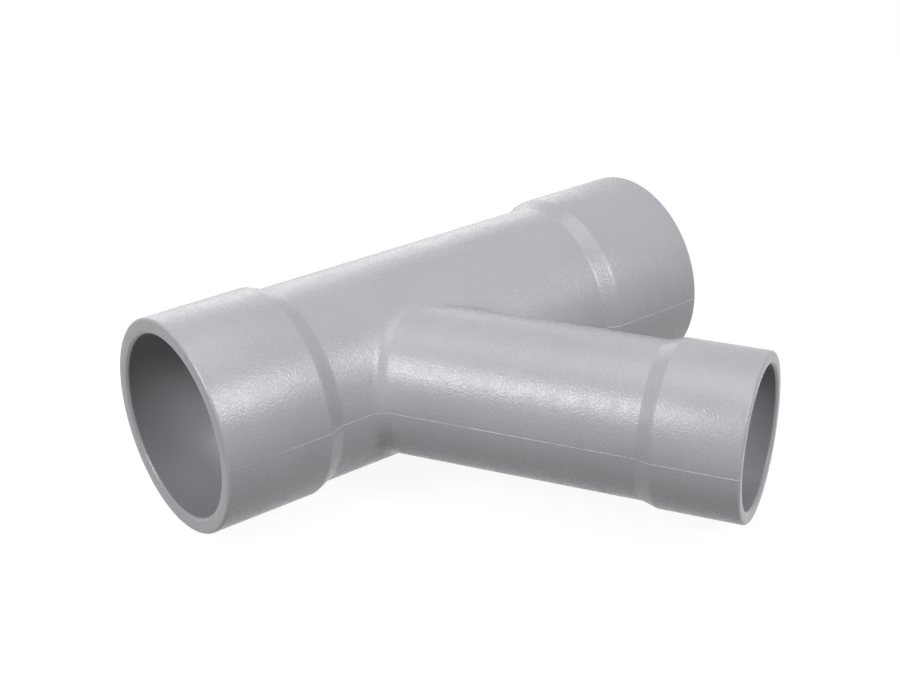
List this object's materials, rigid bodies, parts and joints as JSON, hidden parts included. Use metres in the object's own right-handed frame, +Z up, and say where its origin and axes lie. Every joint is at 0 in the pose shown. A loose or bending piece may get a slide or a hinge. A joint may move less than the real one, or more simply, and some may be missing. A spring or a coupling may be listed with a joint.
{
  "type": "lateral wye fitting",
  "caption": "One-piece moulded wye for round tube: a straight run with two equal sockets and a smaller socket that branches off its middle at sixty degrees.",
  "frame": {"origin": "centre of the inlet's tube stop, where an entered tube ends, 25.3 mm along the run from the crossing of the axes", "axes": "+X along the run from the inlet to the outlet, the branch leaves towards +X and -Y, +Z up, and Z = 0 holds both axes"},
  "size_m": [0.1637, 0.1431, 0.06],
  "materials": {
    "plastic": "satin, fine moulded grain"
  },
  "bodies": {
    "root": {"wye_body": "plastic"}
  },
  "joints": []
}
